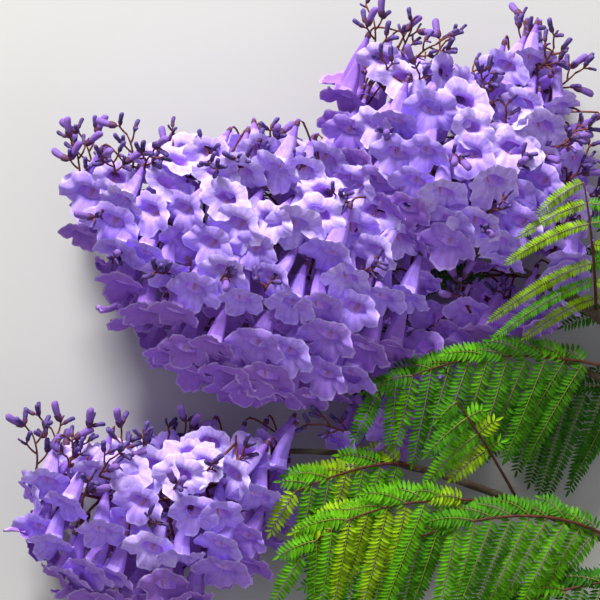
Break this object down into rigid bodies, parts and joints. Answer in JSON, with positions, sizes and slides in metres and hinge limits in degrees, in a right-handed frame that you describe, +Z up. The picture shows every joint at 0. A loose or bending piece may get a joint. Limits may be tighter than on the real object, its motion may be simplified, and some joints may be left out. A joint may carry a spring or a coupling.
{
  "type": "cut jacaranda branch in flower",
  "caption": "Cut branch of a jacaranda lying on a flat surface, with crowded spikes of lilac trumpet flowers and fern-like leaves.",
  "frame": {"origin": "middle of the branch's box, on the surface that it lies on", "axes": "+X runs towards the cut end of the stem, +Y towards the side that grew uppermost, +Z up from the surface"},
  "size_m": [0.6628, 0.5846, 0.1323],
  "materials": {
    "bark": "rough brown bark",
    "blossom": "soft lilac petals",
    "leaf": "satin green leaflets"
  },
  "bodies": {
    "root": {"bough_lower": "bark", "bough_middle": "bark", "bough_upper": "bark", "leaf_base": "leaf", "leaf_foot": "leaf", "leaf_fork": "leaf", "leaf_front": "leaf", "leaf_hanging": "leaf", "leaf_inner": "leaf", "leaf_outer": "leaf", "leaf_rising": "leaf", "leaf_side": "leaf", "leaf_small": "leaf", "leaf_top": "leaf", "leaf_trailing": "leaf", "left_axis": "bark", "left_cluster_01": "blossom", "left_cluster_02": "blossom", "left_cluster_03": "blossom", "left_cluster_04": "blossom", "left_cluster_05": "blossom", "left_cluster_06": "blossom", "left_cluster_07": "blossom", "left_cluster_08": "blossom", "left_cluster_09": "blossom", "left_cluster_10": "blossom", "left_cluster_11": "blossom", "lower_axis": "bark", "lower_cluster_01": "blossom", "lower_cluster_02": "blossom", "lower_cluster_03": "blossom", "lower_cluster_04": "blossom", "lower_cluster_05": "blossom", "lower_cluster_06": "blossom", "lower_cluster_07": "blossom", "lower_cluster_08": "blossom", "main_stem": "bark", "middle_axis": "bark", "middle_cluster_01": "blossom", "middle_cluster_02": "blossom", "middle_cluster_03": "blossom", "right_axis": "bark", "right_cluster_01": "blossom", "right_cluster_02": "blossom", "right_cluster_03": "blossom", "right_cluster_04": "blossom", "right_cluster_05": "blossom", "right_cluster_06": "blossom", "under_axis": "bark", "under_cluster_01": "blossom", "under_cluster_02": "blossom", "under_cluster_03": "blossom", "upper_axis": "bark", "upper_cluster_01": "blossom", "upper_cluster_02": "blossom", "upper_cluster_03": "blossom", "upper_cluster_04": "blossom", "upper_cluster_05": "blossom", "upper_cluster_06": "blossom", "upper_cluster_07": "blossom"}
  },
  "joints": []
}
